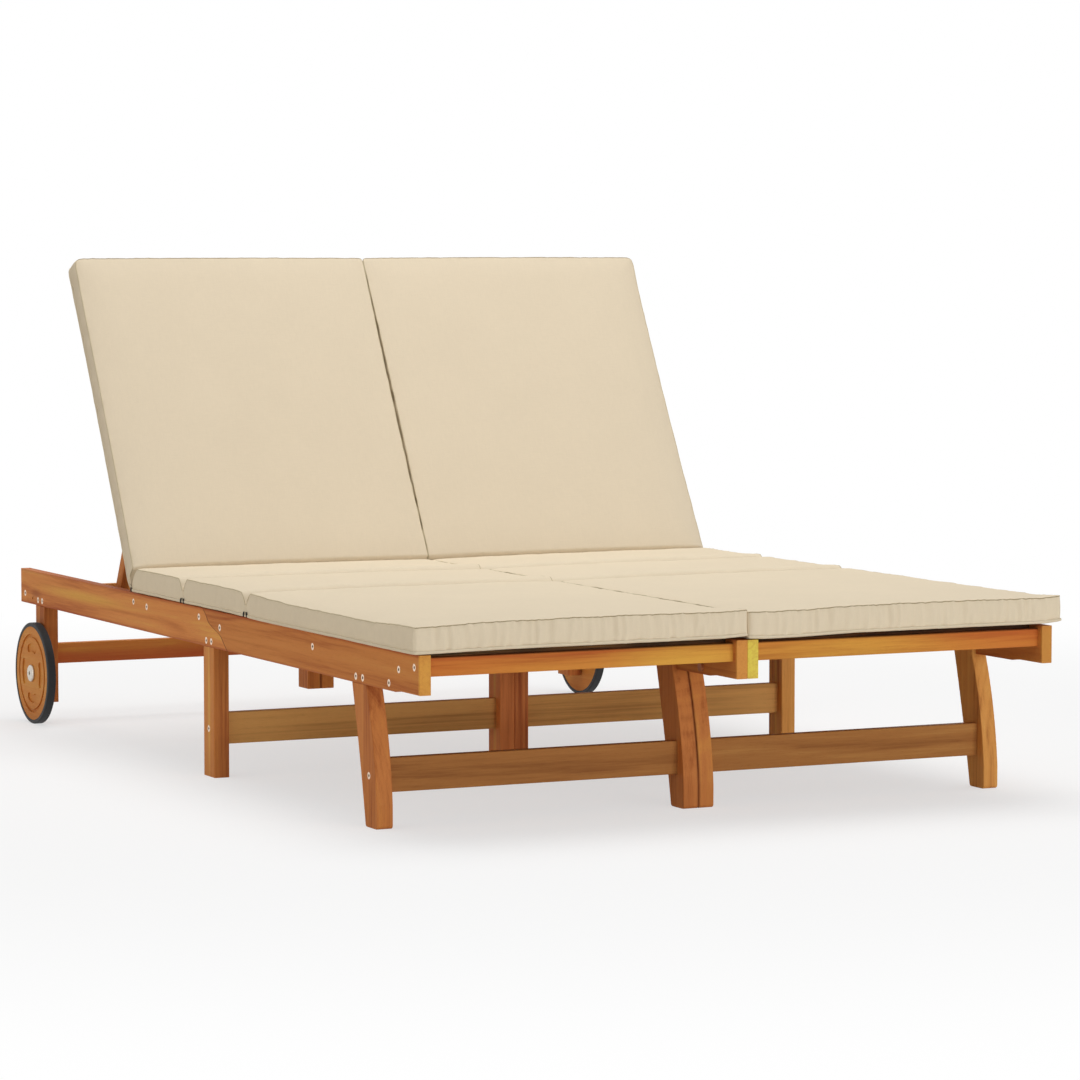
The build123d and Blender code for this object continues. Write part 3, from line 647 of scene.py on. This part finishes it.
def screw_steel(name, first, second, socket, face):
    """Plated steel of the countersunk heads, with painted shade inside their sockets behind a face at
    each side.
    """
    made, tree = new_material(name)
    place = put(tree, "ShaderNodeTexCoord").outputs["Object"]
    mottle = stretched_noise(tree, place, (260.0, 260.0, 260.0), 5.0, 3.0)
    rim = blend_colours(tree, between(tree, mottle, 0.3, 0.7), paint(first), paint(second))
    parts = put(tree, "ShaderNodeSeparateXYZ", {0: place})
    depth = calc(tree, "SUBTRACT", face, calc(tree, "ABSOLUTE", parts.outputs[0]))
    # Painted shade: darker and less metallic inside the socket
    painted_socket_shade = between(tree, depth, socket_start, socket_deep)
    inputs = {
        "Base Color": blend_colours(tree, painted_socket_shade, rim, paint(socket)),
        "Roughness": between(tree, mottle, 0.3, 0.7, 0.32, 0.44),
        "Metallic": between(tree, painted_socket_shade, 0.0, 1.0, 0.75, 0.1),
    }
    cover(tree, put(tree, "ShaderNodeBsdfPrincipled", inputs))
    return made


def dress_fittings():
    """Gives the metal and rubber nodes their materials."""
    steel = plain("zinc_steel", "C4BBAE", "DAD3C8", 260.0, 0.36, metallic=0.85)
    bronzed = plain("bronzed_steel", "A8663A", "B87444", 220.0, 0.55, metallic=0.2)
    dark_steel = plain("shaded_steel", "A8A39B", "C2BDB5", 220.0, 0.4, metallic=0.9)
    rubber = plain("band_rubber", "101113", "1B1D20", 120.0, 0.66)
    # The third tone is the painted shade inside the screw sockets
    screws = screw_steel("screw_steel", "E8CDB2", "F6E2CC", "76553F", rail_outside - screw_sink)
    wear(["frame_screws", "hinge_bolts"], screws)
    wear(["axle_bolts"], steel)
    wear(["joining_bolts"], bronzed)
    wear(["wheel_washers", "left_prop_pivot_bolts", "right_prop_pivot_bolts"], dark_steel)
    wear(["left_wheel_tyre", "right_wheel_tyre"], rubber)


def steps_between(start, end, step):
    """Even places from start to end, about a step apart."""
    count = max(1, round((end - start) / step))
    return [start + (end - start) * number / count for number in range(count + 1)]


def graded(length, step):
    """Shares of a length, with closer lines at both edges."""
    inner = steps_between(edge_steps[-1], length - edge_steps[-1], step)
    places = list(edge_steps[:-1]) + inner + [length - place for place in edge_steps[:-1][::-1]]
    return [place / length for place in places]


def table_value(table, place):
    """Value of a table of places and values, straight between its rows."""
    for (low, first), (high, second) in zip(table, table[1:]):
        if place <= high:
            return first + (second - first) * max(0.0, place - low) / (high - low)
    return table[-1][1]


def eased(value):
    """Smooth step from nought to one."""
    value = min(1.0, max(0.0, value))
    return value * value * (3 - 2 * value)


def rounding(off, radius):
    """How far a face stands back at a distance from a rounded corner."""
    if off >= radius:
        return 0.0
    place = off + (1 - sin(pi / 4)) * (radius - off)
    return radius - (radius * radius - (radius - place) ** 2) ** 0.5


def seat_lie(side, outward, along, from_start):
    """How far a seat cushion lies off the slats and how far its top sinks there."""
    left, right = (left_curl, left_rise, left_sag), (right_curl, right_rise, right_sag)
    curl, rise, sag = left if side < 0 else right
    front = 1 - eased(from_start / curl_reach)
    lift = max(table_value(curl, outward) * front, table_value(rise, along) * outward ** 4)
    return lift, table_value(sag, along) * outward ** 3


class Segment:
    """One padded segment of a cushion on its own directions: across, along and up."""

    def __init__(self, name, side, origin, along, up, span, profiles, thick, bulge, corners, flare=0.0):
        self.name = name
        self.side = side
        self.origin = Vector(origin)
        self.along = Vector(along)
        self.up = Vector(up)
        self.start, self.end = span
        self.profiles = profiles
        self.thick = thick
        self.bulge = bulge
        self.corners = corners
        self.flare = flare
        self.columns = graded(cushion_width, column_step)
        self.rows = graded(self.end - self.start, row_step)
        self.levels = box_levels
        self.body = "frame" if self.along.z == 0 else "backrest"
        self.points = []
        self.index = {}
        self.faces = []

    def place(self, column, row, level):
        """Where a point of the grid lies before the padding swells."""
        start = self.start + table_value(self.profiles[0], level)
        end = self.end - table_value(self.profiles[1], level)
        length = self.end - self.start
        along = start + (end - start) * row
        offs = (row * length, (1 - row) * length)
        half = cushion_width / 2 - draw_in * 4 * row * (1 - row)
        share = 2 * column - 1
        outward = (share * self.side + 1) / 2
        edge = (1 - abs(share)) * cushion_width / 2
        bulge = self.bulge * 4 * level * (1 - level)
        corner = self.corners[0 if outward < 0.5 else 1]
        half += inner_closing if outward < 0.5 else bulge
        nearest = edge
        for profile, off, way in zip(self.profiles, offs, (1, -1)):
            if profile is boxed_profile:
                nearest = min(nearest, off)
                half -= rounding(off, corner) * max(0.0, 1 - edge / corner)
                along += way * rounding(edge, corner) * max(0.0, 1 - off / corner)
                along -= way * bulge * (1 - eased(off / corner)) * eased(edge / corner)
            else:
                half -= crease_round * (1 - eased(off / crease_reach)) * (1 - level)
        across = share * half
        if self.flare and share > 0:
            across += self.flare * share * (1 - row) ** 2
        crown = cushion_crown * (1 - share * share) * level
        drop = pillow_drop * exp(-nearest / pillow_reach)
        lift = 0.0
        if self.body == "frame":
            lift, sag = seat_lie(self.side, outward, self.start + length * row, offs[0])
            drop += sag
        elif outward > 0.5:
            drop += outer_drop * exp(-edge / outer_drop_reach) * (1 - exp(-offs[1] / corner_fill_reach))
        height = self.thick * level + crown - drop * level + lift
        across += self.side * cushion_middle
        return self.origin + Vector((across, 0, 0)) + self.along * along + self.up * height

    def point(self, i, j, k):
        """Number of a grid point, made when it is first asked for."""
        key = (i, j, k)
        if key not in self.index:
            self.index[key] = len(self.points)
            self.points.append(self.place(self.columns[i], self.rows[j], self.levels[k]))
        return self.index[key]

    def build(self):
        """Closed mesh on the surface of the grid."""
        wide, long, high = len(self.columns) - 1, len(self.rows) - 1, len(self.levels) - 1
        quads = []
        for i in range(wide):
            for j in range(long):
                quads.append([(i, j, 0), (i, j + 1, 0), (i + 1, j + 1, 0), (i + 1, j, 0)])
                quads.append([(i, j, high), (i + 1, j, high), (i + 1, j + 1, high), (i, j + 1, high)])
        for k in range(high):
            for i in range(wide):
                quads.append([(i, 0, k), (i + 1, 0, k), (i + 1, 0, k + 1), (i, 0, k + 1)])
                quads.append([(i + 1, long, k), (i, long, k), (i, long, k + 1), (i + 1, long, k + 1)])
            for j in range(long):
                quads.append([(0, j + 1, k), (0, j, k), (0, j, k + 1), (0, j + 1, k + 1)])
                quads.append([(wide, j, k), (wide, j + 1, k), (wide, j + 1, k + 1), (wide, j, k + 1)])
        self.faces = [[self.point(*corner) for corner in quad] for quad in quads]
        self.wobble_seams()
        data = bpy.data.meshes.new(self.name)
        data.from_pydata(self.points, [], self.faces)
        self.object = add_object(self.name, data)

    def on_rim(self, key):
        """Whether a grid point is on the seam round the top or the bottom."""
        i, j, k = key
        edge = i in (0, len(self.columns) - 1) or j in (0, len(self.rows) - 1)
        return edge and k in (0, len(self.levels) - 1)

    def wobble_seams(self):
        """Lets the seams wander a little, as hand-fed sewing does."""
        for key, number in self.index.items():
            if self.on_rim(key):
                point = self.points[number]
                seed = Vector((3.0, 7.0, 11.0)) * (1 + self.side)
                lift = noise.noise(point / seam_wobble_size + seed) * seam_wobble
                lift += noise.noise(point / fine_wobble_size + seed) * fine_wobble
                if key[2] > 0 or lift > 0:
                    point += self.up * lift

    def swell(self):
        """Pads the segment by cloth simulation, held at its seams and along its underside."""
        high = len(self.levels) - 1
        held = [n for key, n in self.index.items() if key[2] == 0 or self.on_rim(key)]
        group = self.object.vertex_groups.new(name="held")
        group.add(held, 1.0, "REPLACE")
        cloth = self.object.modifiers.new("padding", "CLOTH")
        for key, value in cloth_settings.items():
            setattr(cloth.settings, key, value)
        cloth.settings.vertex_group_mass = "held"
        cloth.settings.effector_weights.gravity = 0
        cloth.collision_settings.use_collision = False
        cloth.collision_settings.use_self_collision = False
        scene = bpy.context.scene
        cloth.point_cache.frame_start = 1
        cloth.point_cache.frame_end = sim_frames
        for number in range(1, sim_frames + 1):
            scene.frame_set(number)
        graph = bpy.context.evaluated_depsgraph_get()
        moved = self.object.evaluated_get(graph).data.vertices
        for key, n in self.index.items():
            step = moved[n].co - self.points[n]
            cap = top_cap if key[2] == high else box_cap
            step *= cap / (cap + step.length)
            self.points[n] = self.points[n] + step
        self.object.modifiers.remove(cloth)
        self.object.vertex_groups.clear()
        scene.frame_set(1)
        for vertex, point in zip(self.object.data.vertices, self.points):
            vertex.co = point

    def refine(self):
        """One subdivision, which keeps the grid's own points first and in order."""
        divide = self.object.modifiers.new("refine", "SUBSURF")
        divide.levels = 1
        graph = bpy.context.evaluated_depsgraph_get()
        finer = bpy.data.meshes.new_from_object(self.object.evaluated_get(graph))
        self.object.modifiers.clear()
        self.object.data = finer
        for polygon in finer.polygons:
            polygon.use_smooth = True

    def side_wave(self, across, along):
        """Slow waves of the sides of a long segment."""
        return noise.noise(Vector((across, along, 0.0)) / side_wave_size) * side_wave_depth

    def pucker(self):
        """Draws in the fabric beside the seams in small upright folds."""
        data = self.object.data
        normals = [vertex.normal.copy() for vertex in data.vertices]
        middle = self.side * cushion_middle
        for vertex, normal in zip(data.vertices, normals):
            local = vertex.co - self.origin
            height = local.dot(self.up)
            along = local.dot(self.along)
            across = vertex.co.x - middle
            folds = Vector((across, along, height * pucker_height_share)) / pucker_size
            wave = noise.noise(folds + Vector((self.side * 5.0, 9.0, 2.0)))
            boxed = abs(normal.dot(self.along)) if boxed_profile in self.profiles else 0.0
            upright = 1 - abs(normal.dot(self.up))
            strength = upright * (side_pucker_share + (1 - side_pucker_share) * boxed)
            edge = cushion_width / 2 - abs(across)
            if boxed > 0.5:
                strength *= min(1.0, max(0.0, edge / calm_corner))
            for profile, off in zip(self.profiles, (along - self.start, self.end - along)):
                if profile is boxed_profile:
                    edge = min(edge, off)
            rise = max(0.0, normal.dot(self.up))
            strength += rise * top_pucker_share * exp(-max(0.0, edge) / top_pucker_reach)
            if self.body == "backrest":
                strength *= back_pucker_share
                vertex.co += normal * self.side_wave(across, along) * upright * (1 - boxed)
            if height > welt_radius:
                vertex.co += normal * wave * pucker_depth * strength
            vertex.co.x = self.side * max(self.side * vertex.co.x, middle_clear)

    def path(self, keys):
        """Points of the finished mesh along a row of grid points."""
        vertices = self.object.data.vertices
        return [vertices[self.index[key]].co.copy() for key in keys]

    def raised_path(self, keys):
        """The same, raised and moved out so that a welt of its radius rests on the underside."""
        places = []
        for key in keys:
            vertex = self.object.data.vertices[self.index[key]]
            out = vertex.normal - self.up * vertex.normal.dot(self.up)
            place = vertex.co + self.up * welt_radius + out.normalized() * welt_radius * 0.5
            place.x = self.side * max(self.side * place.x, middle_clear + welt_radius)
            places.append(place)
        return places

    def side_seam_paths(self):
        """Courses of the seam that joins the top panel to the two sides."""
        wide, long, high = len(self.columns) - 1, len(self.rows) - 1, len(self.levels) - 1
        paths = []
        for i in (0, wide):
            keys = [(i, j, high) for j in range(long + 1)]
            if self.profiles[0] is not boxed_profile:
                keys = [(i, 0, k) for k in range(high // 2, high)] + keys
            if self.profiles[1] is not boxed_profile:
                keys += [(i, long, k) for k in range(high - 1, high // 2 - 1, -1)]
            paths.append(self.path(keys))
        return paths

    def end_seam_paths(self):
        """Courses of the seam along the boxed ends."""
        wide, long, high = len(self.columns) - 1, len(self.rows) - 1, len(self.levels) - 1
        ends = zip((0, long), self.profiles)
        return [
            self.path([(i, j, high) for i in range(wide + 1)])
            for j, profile in ends
            if profile is boxed_profile
        ]

    def welt_paths(self):
        """Courses of the welt round the underside."""
        wide, long = len(self.columns) - 1, len(self.rows) - 1
        left = [(0, j, 0) for j in range(long, -1, -1)]
        right = [(wide, j, 0) for j in range(long + 1)]
        if self.profiles[0] is boxed_profile:
            return [self.raised_path(left + [(i, 0, 0) for i in range(1, wide)] + right)]
        if self.profiles[1] is boxed_profile:
            end = [(i, long, 0) for i in range(wide - 1, 0, -1)]
            return [self.raised_path(right + end + left)]
        return [self.raised_path(left), self.raised_path(right)]


def tube(name, paths, radius, material):
    """Cords of one thickness that follow paths, as one mesh."""
    curve = bpy.data.curves.new(name, "CURVE")
    curve.dimensions = "3D"
    curve.bevel_depth = radius
    curve.bevel_resolution = 2
    curve.use_fill_caps = True
    for path in paths:
        spline = curve.splines.new("POLY")
        spline.points.add(len(path) - 1)
        for point, place in zip(spline.points, path):
            point.co = (*place, 1.0)
    shape = add_object(name + "_line", curve)
    graph = bpy.context.evaluated_depsgraph_get()
    data = bpy.data.meshes.new_from_object(shape.evaluated_get(graph))
    bpy.data.objects.remove(shape)
    made = add_object(name, data)
    data.name = name
    data.materials.clear()
    data.materials.append(material)
    for polygon in data.polygons:
        polygon.use_smooth = True
    return made


def seat_segments(side_name, side):
    """The three segments of a seat cushion."""
    rows = (
        ("front", foot_end, notch_places[0], boxed_profile, notch_profile),
        ("middle", notch_places[0], notch_places[1], notch_profile, notch_profile),
        ("rear", notch_places[1], seat_cushion_end, notch_profile, hinge_profile),
    )
    corners = (left_inner_corner if side < 0 else right_inner_corner, outer_corner)
    made = []
    for part, start, end, first, last in rows:
        span = (start + (0 if first is boxed_profile else crease_gap), end - crease_gap)
        flare = front_flare if part == "front" and side > 0 else 0.0
        segment = Segment(
            f"{side_name}_seat_cushion_{part}",
            side,
            origin=(0, 0, cushion_rest),
            along=(0, 1, 0),
            up=(0, 0, 1),
            span=span,
            profiles=(first, last),
            thick=seat_thick,
            bulge=seat_bulge,
            corners=corners,
            flare=flare,
        )
        made.append(segment)
    return made


def back_segment(side_name, side):
    """The back cushion, on the slope of the backrest."""
    up = (0, -sin(recline), cos(recline))
    return Segment(
        f"{side_name}_back_cushion_pad",
        side,
        origin=Vector((0, hinge_y, hinge_z)) + Vector(up) * back_cushion_rest,
        along=GRAIN_SLOPE,
        up=up,
        span=(back_cushion_start, back_cushion_end),
        profiles=(fold_profile, boxed_profile),
        thick=back_thick,
        bulge=back_bulge,
        corners=(outer_corner, back_corner),
    )


def make_cushion(segments, body, node, canvas, trims):
    """Builds, pads and finishes the segments that stand for one cushion of the frame."""
    end_seams, side_seams, welts = [], [], []
    for segment in segments:
        segment.build()
        segment.swell()
        segment.refine()
        segment.pucker()
        segment.object.data.materials.append(canvas)
        end_seams += segment.end_seam_paths()
        side_seams += segment.side_seam_paths()
        welts += segment.welt_paths()
        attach(segment.object, body)
        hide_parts(node)
    courses = {"end_seam": end_seams, "side_seam": side_seams, "welt": welts}
    for suffix, paths in courses.items():
        radius = welt_radius if suffix == "welt" else seam_radius
        line = tube(f"{node}_{suffix}", paths, radius, trims[suffix])
        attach(line, body)


def make_cushions():
    """All the padding of both loungers."""
    flat_canvas = fabric("seat_canvas", "E9DAC0")
    # The back canvas is a slightly darker copy of the seat canvas: painted shade for the back cushions
    back_canvas = fabric("back_canvas", "E1D2B9", slope=recline)
    # Seam cords darker than the canvas: painted shade in the seam grooves, darker at the boxed ends
    # than along the sides
    trims = {
        "end_seam": fabric("end_seam_painted_shade", "A8987A"),
        "side_seam": fabric("side_seam_painted_shade", "CABC9E"),
        "welt": fabric("welt_canvas", "E3D5BB"),
    }
    for side_name, side in (("left", -1), ("right", 1)):
        seat = seat_segments(side_name, side)
        make_cushion(seat, "frame", f"{side_name}_seat_cushion", flat_canvas, trims)
        back = [back_segment(side_name, side)]
        make_cushion(back, f"{side_name}_backrest", f"{side_name}_back_cushion", back_canvas, trims)


def strap(name, side, y, lean, material):
    """Small webbing loop, sewn into the welt beside a crease, that leans along the side."""
    x = side * (cushion_inset + cushion_width + seat_bulge)
    low = cushion_rest + welt_radius
    high = low + strap_length
    half = strap_width / 2
    points = []
    for level, bow in ((low, 0.0), (low + (high - low) / 2, 1.0), (high, 0.0)):
        middle = y + lean * (level - low)
        for depth in (-strap_thick, strap_thick * (0.5 + bow)):
            for edge in (-half, half):
                points.append((x + side * depth, middle + edge, level))
    faces = []
    for row in (0, 4):
        low_ring = (row, row + 1, row + 3, row + 2)
        for number in range(4):
            first, second = low_ring[number], low_ring[(number + 1) % 4]
            faces.append((first, second, second + 4, first + 4))
    faces += [(2, 3, 1, 0), (8, 9, 11, 10)]
    data = bpy.data.meshes.new(name)
    data.from_pydata(points, [], faces)
    data.materials.append(material)
    made = add_object(name, data)
    bevel = made.modifiers.new("soften", "BEVEL")
    bevel.width = strap_thick / 3
    bevel.segments = 2
    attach(made, "frame")


def make_straps():
    """Pairs of loops beside each crease and one at the fold of the backrest."""
    webbing = plain("black_webbing", "16130F", "2A2520", 900.0, 0.85)
    for side_name, side in (("left", -1), ("right", 1)):
        for number, place in enumerate(notch_places):
            for end, off, lean in crease_straps:
                strap(f"{side_name}_strap_{number}_{end}", side, place + off, lean, webbing)
        strap(f"{side_name}_strap_fold", side, fold_strap_place, fold_strap_lean, webbing)


def area_light(name, place, target, size, power, colour):
    """Large soft lamp of a width and a height, aimed at a point."""
    data = bpy.data.lights.new(name, "AREA")
    data.color = colour
    data.shape = "RECTANGLE"
    data.size, data.size_y = size
    data.energy = power
    made = add_object(name, data)
    made.location = place
    made.rotation_euler = (Vector(target) - Vector(place)).to_track_quat("-Z", "Y").to_euler()


def seen_directly(tree):
    """One for rays from the camera and for mirrored or bent ones, else nought."""
    path = put(tree, "ShaderNodeLightPath")
    rays = calc(tree, "ADD", path.outputs["Is Camera Ray"], path.outputs["Is Glossy Ray"])
    return calc(tree, "ADD", rays, path.outputs["Is Transmission Ray"], clamp=True)


def make_world():
    """Even light from all round, and a white background behind the object."""
    world = bpy.data.worlds.new("studio")
    world.use_nodes = True
    tree = world.node_tree
    tree.nodes.clear()
    strength = between(tree, seen_directly(tree), 0.0, 1.0, ambient, 1.0)
    inputs = {"Color": (*white, 1.0), "Strength": strength}
    background = put(tree, "ShaderNodeBackground", inputs)
    output = put(tree, "ShaderNodeOutputWorld")
    tree.links.new(background.outputs[0], output.inputs[0])
    bpy.context.scene.world = world


def make_floor():
    """Floor that keeps the object's shadow, fades into the background and throws warm light."""
    half = floor_size / 2
    data = bpy.data.meshes.new("floor")
    corners = [(-half, -half, 0), (half, -half, 0), (half, half, 0), (-half, half, 0)]
    data.from_pydata(corners, [], [(0, 1, 2, 3)])
    floor = add_object("floor", data)
    made, tree = new_material("floor")
    direct = seen_directly(tree)
    shade = blend_colours(tree, direct, (*floor_bounce, 1.0), (*floor_seen, 1.0))
    surface = put(tree, "ShaderNodeBsdfDiffuse", {"Color": shade})
    glow = put(tree, "ShaderNodeEmission", {"Color": (*white, 1.0), "Strength": 1.0})
    place = put(tree, "ShaderNodeTexCoord").outputs["Object"]
    off = put(tree, "ShaderNodeVectorMath", {0: place}, operation="LENGTH").outputs["Value"]
    far = between(tree, off, floor_clear - floor_fade, floor_clear, shadow_softening, 1.0)
    factor = calc(tree, "MULTIPLY", far, direct)
    shaders = {0: factor, 1: surface.outputs[0], 2: glow.outputs[0]}
    cover(tree, put(tree, "ShaderNodeMixShader", shaders))
    data.materials.append(made)


def make_camera():
    """Camera at the photograph's place."""
    data = bpy.data.cameras.new("camera")
    data.lens = camera_lens
    data.sensor_width = sensor_width
    data.clip_end = view_reach
    made = add_object("camera", data)
    made.location = camera_place
    made.rotation_euler = (pi / 2 - camera_dip, 0, -camera_turn)
    bpy.context.scene.camera = made


dress_wood()
dress_fittings()
make_cushions()
make_straps()
make_world()
make_floor()
for lamp_name, lamp in lamps.items():
    area_light(lamp_name, *lamp)
make_camera()
bpy.context.scene.view_settings.view_transform = "Standard"
